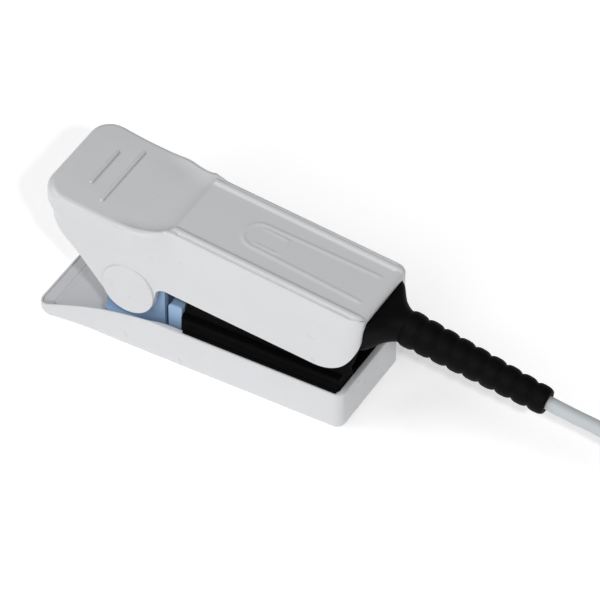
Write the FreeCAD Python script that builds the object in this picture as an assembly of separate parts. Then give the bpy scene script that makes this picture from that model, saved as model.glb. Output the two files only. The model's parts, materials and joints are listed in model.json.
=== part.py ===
import FreeCAD, Part

import math
import os

# A finger clip sensor: two sprung jaws on one hinge, soft pads, optics, and a cable with its plug.
# Millimetres. +X runs from the hinge end to the finger opening and the cable, +Y to the left, +Z up.
# The origin is below the middle of the clip, on the surface that it stands on.

V = FreeCAD.Vector
EPS = 0.01

# ---- driving dimensions ----
LOWER_WIDTH = 23.0
LOWER_REAR_X = -38.6
LOWER_FRONT_X = 34.1
LOWER_REAR_R = 3.6          # the lower shell's vertical corners
LOWER_FRONT_R = 2.0
RIM_Z = 9.3                 # top of the lower shell's side walls
TAB_Z = 2.0                 # top of the lower shell's rear lip
TAB_RISE_X = -11.5          # where the tab's side edge reaches the rim
WALL = 1.4
FLOOR = 1.5

HINGE_X = -16.45
HINGE_Z = 15.55
CLOSED_TILT = 5.73          # the upper jaw's nose-down angle when closed
CAP_R = 6.1                 # round hinge cap, and the ear's end behind it
CAP_OUT = 0.9               # how far the cap's middle stands out from the ear
LUG_R = 7.0
PIN_R = 1.25
RUNNING = 0.05              # radial clearance of the pin in the lower frame's lugs

UPPER_EDGE_Z = 4.0          # lower edge of the upper shell's side, above the hinge
UPPER_TOP_Z = 19.5
NOSE_X = 52.1               # front edge of the upper shell, ahead of the hinge
NOSE_R = 8.8
THUMB_X = -21.9             # rear end of the thumb pad
THUMB_HALF = 13.3
DISH_Z = 17.4               # bottom of the thumb pad's dish
TOP_HALF = 9.9              # half width at the top of the main body
PANEL_HALF = 7.5            # half width of the sunk panel between the top rails
SIDE_HALF = 11.5

PARTING_Z = 12.4            # where the two pads meet
PAD_GAP = 0.3
PAD_LIP = 0.6               # thickness of the lower pad's lip on the side walls' rims
CHANNEL_HALF = 8.0          # half width of the finger channel's ellipse
CHANNEL_MID_Z = 14.2
CHANNEL_HALF_Z = 4.7
FINGER_END_X = -0.5         # blind end of the finger channel
OPTIC_X = 11.0              # where the light crosses the finger
EMITTER_X = 28.5            # the same place in the upper jaw's own frame
WINDOW_R = 3.5

RELIEF_START_X = 57.5       # ribbed part of the strain relief, in the jaw's frame
RELIEF_END_X = 90.6
RELIEF_BASE_Z = 13.3
RELIEF_DROOP = 3.95         # how far its axis falls from the jaw's own axis, in degrees
RELIEF_RIBS = 9
RELIEF_BASE_R = 3.95
RELIEF_TIP_R = 2.95

CABLE_D = 3.0
HANK_X0, HANK_X1 = 124.0, 188.0     # the folded part of the cable
HANK_END_R = 13.7           # its two round ends
HANK_WAIST = 8.5            # its half width under the tie
HANK_HIGH = 10.0
TIE_HALF = 4.0              # half the width of the tie's band
TIE_THICK = 0.9

PLUG_X = 203.0              # the plug's rear end, where its strain relief starts
PLUG_Z = 7.5
HOOD_HALF, HOOD_LONG, HOOD_HIGH = 15.5, 33.0, 15.0

# The loose cable from the strain relief's tip down to the hank, and from the hank's top to the plug.
LEAD_ROUTE = [(73.65, 0.0, 17.64), (79.6, -0.05, 16.63), (87.2, 0.0, 15.95), (95.0, 0.4, 12.9),
              (103.5, 0.2, 7.2), (112.8, -3.3, 2.7), (120.3, -6.35, 1.85), (127.4, -9.1, 1.6)]
TAIL_ROUTE = [(181.0, -3.3, 11.55), (185.6, -2.4, 11.85), (190.6, -1.3, 11.0), (196.8, -0.3, 8.9),
              (203.8, 0.0, 7.5)]


# ---- helpers ----
def box(x0, x1, y0, y1, z0, z1):
    return Part.makeBox(x1 - x0, y1 - y0, z1 - z0, V(x0, y0, z0))


def rod(start, direction, radius, length):
    return Part.makeCylinder(radius, length, V(*start), V(*direction))


def cyl_y(x, z, radius, y0, y1):
    return rod((x, y0, z), (0, 1, 0), radius, y1 - y0)


def cyl_z(x, y, radius, z0, z1):
    return rod((x, y, z0), (0, 0, 1), radius, z1 - z0)


def fuse(*shapes):
    whole = shapes[0]
    for s in shapes[1:]:
        whole = whole.fuse(s)
    return whole.removeSplitter()


def mirror_pair(shape):
    return [shape, shape.mirror(V(0, 0, 0), V(0, 1, 0))]


def line(a, b):
    return Part.LineSegment(V(*a), V(*b)).toShape()


def arc(a, b, c):
    return Part.Arc(V(*a), V(*b), V(*c)).toShape()


def prism(edges, along):
    face = Part.Face(Part.Wire(edges))
    return face.extrude(V(*along))


def polygon_prism(points, along):
    wire = Part.makePolygon([V(*p) for p in points] + [V(*points[0])])
    return Part.Face(wire).extrude(V(*along))


def rounded_plate(x0, x1, half, rear_r, front_r, z0, z1):
    """A plate with rounded vertical corners, of its own radius at each end."""
    plate = box(x0, x1, -half, half, z0, z1)
    for x, r in ((x0, rear_r), (x1, front_r)):
        edges = [e for e in plate.Edges if abs(e.BoundBox.ZLength - (z1 - z0)) < EPS
                 and abs(e.CenterOfMass.x - x) < EPS and e.BoundBox.XLength < EPS]
        plate = plate.makeFillet(r, edges)
    return plate


def in_jaw(shape):
    """Moves a shape from the upper jaw's own frame, with the hinge at its origin, to the closed place."""
    placed = shape.copy()
    placed.rotate(V(0, 0, 0), V(0, 1, 0), CLOSED_TILT)
    placed.translate(V(HINGE_X, 0, HINGE_Z))
    return placed


def to_jaw(shape):
    """The other way: a shape drawn at the closed place, in the upper jaw's own frame."""
    placed = shape.copy()
    placed.translate(V(-HINGE_X, 0, -HINGE_Z))
    placed.rotate(V(0, 0, 0), V(0, 1, 0), -CLOSED_TILT)
    return placed


def tangent_path(route):
    """Straight runs joined by tangent arcs, each of 0.45 of its shorter run."""
    points = [V(*p) for p in route]
    edges, at = [], points[0]
    for a, b, c in zip(points, points[1:], points[2:]):
        into, out = b.sub(a), c.sub(b)
        trim = 0.45 * min(into.Length, out.Length)
        into.normalize()
        out.normalize()
        half = into.getAngle(out) / 2
        radius = trim / math.tan(half)
        start, end = b.sub(V(into).multiply(trim)), b.add(V(out).multiply(trim))
        inward = V(out).sub(into)
        inward.normalize()
        middle = b.add(inward.multiply(radius / math.cos(half) - radius))
        edges += [Part.LineSegment(at, start).toShape(), Part.Arc(start, middle, end).toShape()]
        at = end
        print(f"cable bend radius {radius:.1f} mm, turn {math.degrees(2 * half):.0f} degrees")
    return Part.Wire(edges + [Part.LineSegment(at, points[-1]).toShape()])


def cable_tube(route):
    path = tangent_path(route)
    start = V(*route[0])
    direction = V(*route[1]).sub(start)
    section = Part.Wire(Part.Circle(start, direction, CABLE_D / 2).toShape())
    tube = path.makePipeShell([section], True, False)
    want = math.pi * (CABLE_D / 2) ** 2 * path.Length
    print(f"cable run {path.Length:.1f} mm, volume {tube.Volume:.1f}, section x length {want:.1f}")
    return tube


def screw(x, y, z, length, head_r=1.7, head_h=1.1, shank_r=0.95):
    """A pan head screw pointing down, with its head's underside at z and a cross recess."""
    head = cyl_z(x, y, head_r, z, z + head_h)
    head = head.makeFillet(0.4, [e for e in head.Edges if abs(e.CenterOfMass.z - z - head_h) < EPS])
    recess = fuse(box(x - 1.0, x + 1.0, y - 0.2, y + 0.2, z + 0.5, z + 2),
                  box(x - 0.2, x + 0.2, y - 1.0, y + 1.0, z + 0.5, z + 2))
    return fuse(head.cut(recess), cyl_z(x, y, shank_r, z - length, z))


# ---- lower jaw ----
FRAME_Z0, FRAME_Z1 = 4.0, 5.4
LOWER_SCREWS = [(-21.2, -5.4), (-21.2, 5.4)]


def lower_outline(inset, z0, z1):
    return rounded_plate(LOWER_REAR_X + inset, LOWER_FRONT_X - inset, LOWER_WIDTH / 2 - inset,
                         LOWER_REAR_R - inset, LOWER_FRONT_R - inset, z0, z1)


def lower_side_profile():
    """The side outline: a low rear lip that rises in a long curve to the rim."""
    rear, front = LOWER_REAR_X - 5, LOWER_FRONT_X + 5
    lip, rise, rim = (LOWER_REAR_X, -30, TAB_Z), (TAB_RISE_X, -30, RIM_Z), (front, -30, RIM_Z)
    bulge = ((lip[0] + rise[0]) / 2 - 0.3, -30, (TAB_Z + RIM_Z) / 2 + 0.95)
    edges = [line((rear, -30, -5), (front, -30, -5)), line((front, -30, -5), rim), line(rim, rise),
             arc(rise, bulge, lip), line(lip, (rear, -30, TAB_Z)), line((rear, -30, TAB_Z), (rear, -30, -5))]
    return prism(edges, (0, 60, 0))


def finger_grip(depth, length, mid_x):
    """The shallow hollow across the underside of the rear tab."""
    radius = (length ** 2 / 4 + depth ** 2) / (2 * depth)
    return cyl_y(mid_x, depth - radius, radius, -20, 20)


def lower_shell():
    outer = lower_outline(0, 0, 12)
    bottom = [e for e in outer.Edges if abs(e.BoundBox.ZMax) < EPS]
    outer = outer.makeFillet(1.0, bottom)
    hollow = lower_outline(WALL, FLOOR, 13)
    shell = outer.cut(hollow).common(lower_side_profile())
    shell = shell.cut(finger_grip(0.7, 14, -28.0))
    bosses = [cyl_z(x, y, 2.3, FLOOR - 0.2, FRAME_Z0).cut(cyl_z(x, y, 0.95, FLOOR + 0.3, FRAME_Z0 + 1))
              for x, y in LOWER_SCREWS]
    ledges = [box(x, x + 2, y, y + 3, FLOOR - 0.2, FRAME_Z0) for x in (-3, 26) for y in (-9.2, 6.2)]
    pocket = box(LOWER_FRONT_X - WALL - EPS, LOWER_FRONT_X - 0.5, -3.1, 3.1, FRAME_Z0 - 0.05, FRAME_Z1 - 0.3)
    return fuse(shell, *bosses, *ledges).cut(pocket)


def lower_frame():
    plate = rounded_plate(-24.0, LOWER_FRONT_X - WALL - 0.1, 9.8, 1.5, 2.0, FRAME_Z0, FRAME_Z1)
    tongue = box(LOWER_FRONT_X - WALL - 0.3, LOWER_FRONT_X - 0.6, -3, 3, FRAME_Z0, FRAME_Z1 - 0.4)
    end_wall = box(-8.1, -4.9, -9.5, 9.5, FRAME_Z1 - 0.1, 13.5)
    end_wall = end_wall.makeFillet(0.6, [e for e in end_wall.Edges if abs(e.CenterOfMass.z - 13.5) < EPS])
    slot = box(-9, -4, -2.2, 2.2, 8.4, 15)
    lug = fuse(cyl_y(HINGE_X, HINGE_Z, LUG_R, 7.3, 8.7),
               box(HINGE_X - LUG_R, HINGE_X + LUG_R, 7.3, 8.7, FRAME_Z1 - 0.1, HINGE_Z))
    brace = polygon_prism([(HINGE_X - 1, 5.6, FRAME_Z1 - 0.1), (HINGE_X - 1, 7.4, FRAME_Z1 - 0.1),
                           (HINGE_X - 1, 7.4, 10.0)], (2, 0, 0))
    frame = fuse(plate, tongue, end_wall.cut(slot), *mirror_pair(lug), *mirror_pair(brace))
    holes = [cyl_z(x, y, 1.1, 3, 6) for x, y in LOWER_SCREWS]
    bore = cyl_y(HINGE_X, HINGE_Z, PIN_R + RUNNING, -12, 12)
    for tool in [*holes, bore]:
        frame = frame.cut(tool)
    return frame


def finger_channel():
    """The finger's space at the closed place: an elliptical bore that narrows to a blunt blind end."""
    sections = []
    for x, scale in ((FINGER_END_X, 0.45), (FINGER_END_X + 2.8, 0.84), (FINGER_END_X + 7.5, 1.0), (70.0, 1.0)):
        curve = Part.Ellipse(V(x, 0, CHANNEL_MID_Z), CHANNEL_HALF * scale, CHANNEL_HALF_Z * scale)
        curve.Axis = V(1, 0, 0)
        curve.XAxis = V(0, 1, 0)
        sections.append(Part.Wire(curve.toShape()))
    return Part.makeLoft(sections, True, True)


BOARD_Z = FRAME_Z1 + 0.05


def lower_pad():
    x0, x1 = -4.8, LOWER_FRONT_X - WALL - 0.05
    pad = rounded_plate(x0, x1, 10.0, 1.0, 0.6, FRAME_Z1, PARTING_Z - PAD_GAP / 2)
    lip_half = LOWER_WIDTH / 2 - 0.25
    pad = fuse(pad, box(x0 + 1.2, x1, -lip_half, lip_half, RIM_Z, RIM_Z + PAD_LIP))
    pad = pad.cut(finger_channel())
    well = box(OPTIC_X - 4.9, OPTIC_X + 4.9, -4.4, 4.4, FRAME_Z1 - 1, FRAME_Z1 + 2.5)
    groove = box(-5, OPTIC_X - 4.8, -1.3, 1.3, FRAME_Z1 - 1, FRAME_Z1 + 1.6)
    notch = box(-5, -3.4, -1.3, 1.3, FRAME_Z1 - 1, 11.5)
    return pad.cut(well).cut(cyl_z(OPTIC_X, 0, WINDOW_R, FRAME_Z1, 12)).cut(groove).cut(notch)


def detector_board():
    board = box(OPTIC_X - 4.7, OPTIC_X + 4.7, -4.2, 4.2, BOARD_Z, BOARD_Z + 0.8)
    for y in (-3.4, 3.4):
        board = board.cut(cyl_z(OPTIC_X - 3.9, y, 0.35, BOARD_Z - 1, BOARD_Z + 2))
    return board


def photodiode():
    z = BOARD_Z + 0.8
    body = box(OPTIC_X - 2.2, OPTIC_X + 2.2, -2.2, 2.2, z, z + 1.1)
    return body.cut(box(OPTIC_X - 1.6, OPTIC_X + 1.6, -1.6, 1.6, z + 0.8, z + 2))


def window(z0, z1):
    lens = cyl_z(OPTIC_X, 0, WINDOW_R - 0.02, z0, z1)
    return lens.makeFillet(0.3, [e for e in lens.Edges if abs(e.CenterOfMass.z - z1) < EPS])


def detector_window():
    return window(8.0, 9.6)


# ---- upper jaw, in its own frame with the hinge at the origin ----
CARRIER_Z0, CARRIER_Z1 = 8.3, 9.7
UPPER_SCREWS = [(4.2, -6.4), (4.2, 6.4), (45.4, -6.9), (45.4, 6.9)]


def half_width(x, z):
    """Half width of the upper shell at a place along it and a height above the hinge."""
    flare = min(1.0, max(0.0, (10.0 - x) / 12.0))
    flare = flare * flare * (3 - 2 * flare)
    up = min(1.0, max(0.0, (z - UPPER_EDGE_Z) / (UPPER_TOP_Z - UPPER_EDGE_Z)))
    slim = SIDE_HALF - (SIDE_HALF - TOP_HALF) * up ** 1.6
    wide = SIDE_HALF + (THUMB_HALF - SIDE_HALF) * up
    return slim + (wide - slim) * flare


def upper_sides(inset):
    """The space between the jaw's two side faces, each a smooth surface of its half width."""
    xs = [-26.0 + 4.0 * i for i in range(22)]
    zs = [-9.0 + 3.0 * i for i in range(12)]
    surface = Part.BSplineSurface()
    surface.interpolate([[V(x, half_width(x, z) - inset, z) for z in zs] for x in xs])
    near = surface.toShape().extrude(V(0, -40, 0))
    return near.common(near.mirror(V(0, 0, 0), V(0, 1, 0)))


def tangent_foot(point, radius):
    """Where a line from a point behind the hinge touches the hinge circle from below."""
    far = math.hypot(*point)
    toward = math.atan2(point[1], point[0])
    turn = math.acos(radius / far)
    return radius * math.cos(toward + turn), radius * math.sin(toward + turn)


def upper_side_profile(inset=0.0):
    """The side outline of the upper shell: thumb pad, step, straight top, round nose, ear."""
    def p(x, z):
        return (x, -30, z)
    low = (THUMB_X + 1.3 + inset, 11.5)
    foot = tangent_foot(low, CAP_R)
    top_rear, top_front = UPPER_TOP_Z + 0.1 - inset, UPPER_TOP_Z - 0.4 - inset
    rear_top = (THUMB_X + 1.6 + inset, DISH_Z + 0.9 - inset)
    nose_end = (NOSE_X - NOSE_R, UPPER_EDGE_Z)
    nose_up = (NOSE_X, UPPER_EDGE_Z + NOSE_R)
    nose_mid = (NOSE_X - NOSE_R + NOSE_R * math.sin(math.radians(45)),
                UPPER_EDGE_Z + NOSE_R - NOSE_R * math.cos(math.radians(45)))
    edges = [
        line(p(*low), p(THUMB_X + inset, 13.6)),
        line(p(THUMB_X + inset, 13.6), p(THUMB_X + inset, DISH_Z - 0.8)),
        arc(p(THUMB_X + inset, DISH_Z - 0.8), p(THUMB_X + inset + 0.45, DISH_Z + 0.45 - inset), p(*rear_top)),
        arc(p(*rear_top), p(-7.0, DISH_Z - inset), p(5.5, DISH_Z + 1.5 - inset)),
        line(p(5.5, DISH_Z + 1.5 - inset), p(8.5, top_rear)),
        line(p(8.5, top_rear), p(NOSE_X - 1.2, top_front)),
        line(p(NOSE_X - 1.2, top_front), p(NOSE_X, top_front - 1.2)),
        line(p(NOSE_X, top_front - 1.2), p(*nose_up)),
        arc(p(*nose_up), p(*nose_mid), p(*nose_end)),
        line(p(*nose_end), p(8.6, UPPER_EDGE_Z)),
        arc(p(8.6, UPPER_EDGE_Z), p(6.9, 3.2), p(CAP_R, 1.4)),
        line(p(CAP_R, 1.4), p(CAP_R, 0)),
        arc(p(CAP_R, 0), p(CAP_R * math.sin(math.radians(20)), -CAP_R * math.cos(math.radians(20))),
            p(*foot)),
        line(p(*foot), p(*low)),
    ]
    return prism(edges, (0, 60, 0))


def upper_plan():
    """The plan outline: rounded thumb pad corners and a slightly rounded nose."""
    rear = rounded_plate(THUMB_X, 20, 16, 5.2, 1.0, -30, 30)
    thumb = rounded_plate(THUMB_X, 26, THUMB_HALF + 0.1, 5.2, 1.0, -30, 30)
    body = rounded_plate(0, NOSE_X, 16, 1.0, 5.5, -30, 30)
    front = rounded_plate(10, NOSE_X, SIDE_HALF + 0.2, 1.0, 2.4, -30, 30)
    return fuse(rear.common(thumb), body.common(front))


def upper_cavity():
    """The inside of the shell: open below and at the front, closed at the rear."""
    inner = upper_sides(WALL)
    roof = prism([
        line((THUMB_X + 1.7, -30, -20), (70, -30, -20)), line((70, -30, -20), (70, -30, UPPER_TOP_Z - 2.3)),
        line((70, -30, UPPER_TOP_Z - 2.3), (9.5, -30, UPPER_TOP_Z - 1.9)),
        line((9.5, -30, UPPER_TOP_Z - 1.9), (4.0, -30, DISH_Z - 1.6)),
        line((4.0, -30, DISH_Z - 1.6), (THUMB_X + 1.7, -30, DISH_Z - 1.6)),
        line((THUMB_X + 1.7, -30, DISH_Z - 1.6), (THUMB_X + 1.7, -30, -20))], (0, 60, 0))
    plan = rounded_plate(THUMB_X + 1.7, 70, 16, 3.6, 1.0, -30, 30)
    return inner.common(roof).common(plan)


def grip_rib(x, half, z):
    return fuse(cyl_y(x, z, 0.45, -half, half), Part.makeSphere(0.45, V(x, -half, z)),
                Part.makeSphere(0.45, V(x, half, z)))


def upper_shell():
    solid = upper_sides(0).common(upper_side_profile()).common(upper_plan())
    panel = box(9.4, NOSE_X - 1.7, -PANEL_HALF, PANEL_HALF, UPPER_TOP_Z - 0.75, UPPER_TOP_Z + 3)
    panel.rotate(V(9.4, 0, UPPER_TOP_Z), V(0, 1, 0), 0.6)
    shell = solid.cut(panel).cut(upper_cavity())
    posts = []
    for x, y in UPPER_SCREWS:
        post = cyl_z(x, y, 1.9, CARRIER_Z1, 17.7 if x > 9 else 16.0)
        posts.append(post.cut(cyl_z(x, y, 0.95, CARRIER_Z1 - 1, CARRIER_Z1 + 4.5)))
    ribs = [grip_rib(-14.0, 5.2, DISH_Z + 0.36), grip_rib(-9.6, 8.2, DISH_Z + 0.14)]
    shell = fuse(shell, *posts, *ribs)
    return shell.cut(cyl_y(0, 0, 2.0, -14, 14))


def upper_frame():
    """The carrier that holds the upper pad: a plate with side rails and two stops beside the spring."""
    plate = rounded_plate(-1.0, NOSE_X - 2.2, 9.2, 1.0, 2.0, CARRIER_Z0, CARRIER_Z1)
    rail = box(14, 43, 8.2, 9.2, CARRIER_Z1 - 0.1, CARRIER_Z1 + 2.0)
    saddle = box(40.2, 43.8, -3.4, 3.4, CARRIER_Z1 - 0.1, RELIEF_BASE_Z - 1.9)
    frame = fuse(plate, saddle, *mirror_pair(rail))
    opening = box(24.2, 32.8, -3.8, 3.8, CARRIER_Z0 - 1, CARRIER_Z0 + 0.9)
    frame = frame.cut(opening).cut(cyl_z(28.5, 0, 2.4, 5, 12))
    for x, y in UPPER_SCREWS:
        frame = frame.cut(cyl_z(x, y, 1.1, 5, 12))
    return frame.cut(box(-2, 5.6, -2.0, 2.0, 5, 12))


def flipped_screw(x, y, z, length):
    """A screw from below: its head hangs under z."""
    driven = screw(x, y, 0, length)
    driven.rotate(V(x, y, 0), V(1, 0, 0), 180)
    return driven.translated(V(0, 0, z))


def upper_pad():
    """Drawn at the closed place, so that its face and channel meet the lower pad's."""
    carrier = rounded_plate(12.2, NOSE_X - 1.3, 9.5, 1.0, 2.0, -8, CARRIER_Z0 - 0.02)
    block = in_jaw(carrier)
    above = box(-60, 80, -20, 20, PARTING_Z + PAD_GAP / 2, 60)
    pad = to_jaw(block.common(above).cut(finger_channel()))
    pad = pad.cut(cyl_z(EMITTER_X, 0, WINDOW_R, 0, 9))
    for x, y in UPPER_SCREWS:
        pad = pad.cut(cyl_z(x, y, 2.0, CARRIER_Z0 - 1.5, CARRIER_Z0 + 1))
    return pad


def emitter_board():
    return box(EMITTER_X - 4.2, EMITTER_X + 4.2, -3.7, 3.7, CARRIER_Z0 + 0.05, CARRIER_Z0 + 0.85)


def emitter_leds():
    z = CARRIER_Z0 + 0.05
    case = box(EMITTER_X - 2.0, EMITTER_X + 2.0, -1.6, 1.6, z - 1.0, z)
    dies = box(EMITTER_X - 1.4, EMITTER_X + 1.4, -1.0, 1.0, z - 2, z - 0.7)
    return case.cut(dies)


def emitter_window():
    top = CARRIER_Z0 - 1.1
    return cyl_z(EMITTER_X, 0, WINDOW_R - 0.02, top - 1.0, top)


def relief_frame(shape):
    """Turns a shape drawn along X from the origin onto the strain relief's axis."""
    placed = shape.copy()
    placed.rotate(V(0, 0, 0), V(0, 1, 0), RELIEF_DROOP)
    return placed.translated(V(RELIEF_START_X, 0, RELIEF_BASE_Z))


RELIEF_LONG = (RELIEF_END_X - RELIEF_START_X) / math.cos(math.radians(RELIEF_DROOP))
RIB_PITCH = RELIEF_LONG / RELIEF_RIBS


def relief_outline():
    """The ribbed cone's section: rounded ribs with narrow grooves, and a flared mouth at its tip."""
    def radius(x):
        return RELIEF_BASE_R + (RELIEF_TIP_R - RELIEF_BASE_R) * x / RELIEF_LONG
    groove = 0.55
    edges, at = [], V(0, 0, radius(0) - groove)
    for i in range(RELIEF_RIBS):
        x0, x1 = i * RIB_PITCH, (i + 1) * RIB_PITCH
        crest = V((x0 + x1) / 2, 0, radius((x0 + x1) / 2) + 0.02)
        foot_a, foot_b = V(x0 + 0.35, 0, radius(x0) - groove), V(x1 - 0.35, 0, radius(x1) - groove)
        if i == RELIEF_RIBS - 1:
            foot_b = V(x1, 0, radius(x1) - 0.35)
        edges += [Part.LineSegment(at, foot_a).toShape(), Part.Arc(foot_a, crest, foot_b).toShape()]
        at = foot_b
    mouth = V(RELIEF_LONG - 1.2, 0, CABLE_D / 2)
    edges += [Part.LineSegment(at, V(RELIEF_LONG, 0, CABLE_D / 2 + 0.35)).toShape(),
              Part.LineSegment(V(RELIEF_LONG, 0, CABLE_D / 2 + 0.35), mouth).toShape(),
              Part.LineSegment(mouth, V(RELIEF_LONG - 1.2, 0, 0)).toShape(),
              Part.LineSegment(V(RELIEF_LONG - 1.2, 0, 0), V(0, 0, 0)).toShape(),
              Part.LineSegment(V(0, 0, 0), V(0, 0, radius(0) - groove)).toShape()]
    return Part.Wire(edges)


def strain_relief():
    """A ribbed cone on a flared base that closes the front of the upper shell."""
    cone = Part.Face(relief_outline()).revolve(V(0, 0, 0), V(1, 0, 0), 360)
    cone = relief_frame(cone)
    bottom, top, half = CARRIER_Z1 + 0.2, UPPER_TOP_Z - 2.45, 8.0
    x0, x1 = NOSE_X - 1.4, RELIEF_START_X + 0.6

    def section(x, y_half, z0, z1, corner):
        plate = box(x, x + 1, -y_half, y_half, z0, z1)
        plate = plate.makeFillet(corner, [e for e in plate.Edges if e.BoundBox.XLength > 0.9])
        face = [f for f in plate.Faces if abs(f.CenterOfMass.x - x) < EPS][0]
        return face.OuterWire
    near = RELIEF_BASE_R * 0.93
    flare = Part.makeLoft([section(x0, half, bottom, top, 3.0),
                           section(x0 + 2.6, half - 1.5, bottom + 0.2, top - 0.8, 2.9),
                           section(x1, near, RELIEF_BASE_Z - near, RELIEF_BASE_Z + near, near - 0.05)],
                          True, False)
    flange = rounded_plate(NOSE_X - 4.4, NOSE_X - 2.9, 8.3, 0.3, 0.3, bottom, top)
    neck = box(NOSE_X - 3.0, NOSE_X - 1.3, -6.5, 6.5, bottom + 0.6, top - 0.8)
    return fuse(flare, flange, neck, cone)


def cable_end():
    return rod((40.0, 0, RELIEF_BASE_Z), (1, 0, 0), CABLE_D / 2, NOSE_X - 4.4 - 40.0)


def cable_clamp():
    """A strap over the cable's end, seated on the carrier's saddle."""
    z = RELIEF_BASE_Z - 1.9
    strap = box(40.2, 43.8, -3.2, 3.2, z, RELIEF_BASE_Z + 2.6)
    strap = strap.makeFillet(0.8, [e for e in strap.Edges if abs(e.CenterOfMass.z - RELIEF_BASE_Z - 2.6) < EPS
                                   and e.BoundBox.XLength > 3])
    return strap.cut(rod((39, 0, RELIEF_BASE_Z), (1, 0, 0), CABLE_D / 2, 6))


def lead(points, radius=0.35):
    """A thin insulated wire as straight runs joined at round corners."""
    bits = []
    for a, b in zip(points, points[1:]):
        run = V(*b).sub(V(*a))
        bits += [Part.makeCylinder(radius, run.Length, V(*a), run), Part.makeSphere(radius, V(*b))]
    return fuse(*bits[:-1])


def emitter_leads():
    wires = [lead([(40.0, y, RELIEF_BASE_Z), (36.5, y, 12.0), (32.6, y, 10.4), (29.9, y, 10.1), (29.3, y, 9.55)])
             for y in (-0.6, 0.6)]
    return Part.makeCompound(wires)


def detector_leads():
    """From the cable over the carrier to the hinge, then down past the spring to the detector."""
    over = [(39.65, 0.0, RELIEF_BASE_Z - 0.9), (38.0, 0.0, 10.6), (34.0, 2.6, 10.15),
            (22.0, 2.6, 10.15), (6.0, 0.0, 10.15), (1.2, 0.0, 9.6), (0.6, 0.0, 7.4)]
    tilt = math.radians(CLOSED_TILT)
    world = [(HINGE_X + x * math.cos(tilt) + z * math.sin(tilt), y,
              HINGE_Z - x * math.sin(tilt) + z * math.cos(tilt)) for x, y, z in over]
    down = [(-10.4, 0.0, 20.6), (-9.0, 0.0, 14.6), (-8.6, 0.0, 11.2), (-6.4, 0.0, 10.2), (-4.3, 0.0, 9.2),
            (-4.05, 0.0, 6.6), (-1.0, 0.0, 6.0), (OPTIC_X - 4.75, 0.0, 6.0)]
    return lead(world[:-1] + down)


# ---- hinge ----
def hinge_pin():
    pin = cyl_y(HINGE_X, HINGE_Z, PIN_R, -11.4, 11.4)
    return pin.makeChamfer(0.2, [e for e in pin.Edges if e.BoundBox.YLength < EPS])


def hinge_cap():
    """A domed round cap with a hollow boss that sits in the ear and grips the pin's end."""
    dome_r = 36.0
    disc = cyl_y(0, 0, CAP_R, SIDE_HALF, SIDE_HALF + CAP_OUT + 0.1)
    dome = Part.makeSphere(dome_r, V(0, SIDE_HALF + CAP_OUT - dome_r, 0))
    cap = disc.common(dome)
    edge = [e for e in cap.Edges if abs(e.BoundBox.XLength - 2 * CAP_R) < 0.02
            and e.CenterOfMass.y > SIDE_HALF + 0.1]
    cap = cap.makeFillet(0.25, edge)
    boss = cyl_y(0, 0, 2.0, 9.7, SIDE_HALF + 0.2)
    return fuse(cap, boss).cut(cyl_y(0, 0, PIN_R, 0, 11.4))


def torsion_spring():
    """A coil round the pin, with one leg down on the lower frame and one up under the thumb pad."""
    wire_r, coil_r, pitch = 0.45, 2.75, 1.05
    legs = ((50.0, -1, 10.3), (58.0, 1, 17.2))      # lean from -X, down or up, length
    turns = 5 + (180.0 - legs[0][0] - legs[1][0]) / 360.0
    wide = pitch * turns
    rise = V(0, coil_r * 2 * math.pi, pitch)
    section = Part.Wire(Part.Circle(V(coil_r, 0, 0), rise, wire_r).toShape())
    coil = Part.Wire(Part.makeHelix(pitch, wide, coil_r)).makePipeShell([section], True, True)
    coil.rotate(V(0, 0, 0), V(1, 0, 0), 90)         # the helix now runs from y = 0 towards -Y
    coil.rotate(V(0, 0, 0), V(0, 1, 0), 90.0 - legs[0][0])
    coil.translate(V(HINGE_X, wide / 2, HINGE_Z))
    whole = coil
    for (lean, way, long), y in zip(legs, (wide / 2, -wide / 2)):
        lean = math.radians(lean)
        start = V(HINGE_X + coil_r * math.sin(lean), y, HINGE_Z + way * coil_r * math.cos(lean))
        run = V(-math.cos(lean), 0, way * math.sin(lean))
        whole = whole.fuse(Part.makeSphere(wire_r + 0.03, start))
        whole = whole.fuse(Part.makeCylinder(wire_r, long, start, run))
        whole = whole.fuse(Part.makeSphere(wire_r, start.add(V(run).multiply(long))))
    return whole


# ---- cable and plug ----
def cable_lead():
    return cable_tube(LEAD_ROUTE)


def cable_tail():
    return cable_tube(TAIL_ROUTE)


def cable_hank():
    """The outer shape of the folded cable: two round ends and a waist between them, in tangent arcs."""
    mid = (HANK_X0 + HANK_X1) / 2
    end = (HANK_X1 - HANK_X0) / 2 - HANK_END_R
    waist_r = (end ** 2 + HANK_WAIST ** 2 - HANK_END_R ** 2) / (2 * (HANK_END_R - HANK_WAIST))
    share = HANK_END_R / (HANK_END_R + waist_r)
    x, y = end * (1 - share), (HANK_WAIST + waist_r) * share      # where an end meets the waist
    outline = [arc((mid + x, -y, 0), (HANK_X1, 0, 0), (mid + x, y, 0)),
               arc((mid + x, y, 0), (mid, HANK_WAIST, 0), (mid - x, y, 0)),
               arc((mid - x, y, 0), (HANK_X0, 0, 0), (mid - x, -y, 0)),
               arc((mid - x, -y, 0), (mid, -HANK_WAIST, 0), (mid + x, -y, 0))]
    return prism(outline, (0, 0, HANK_HIGH)).cut(cable_tie())


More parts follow.
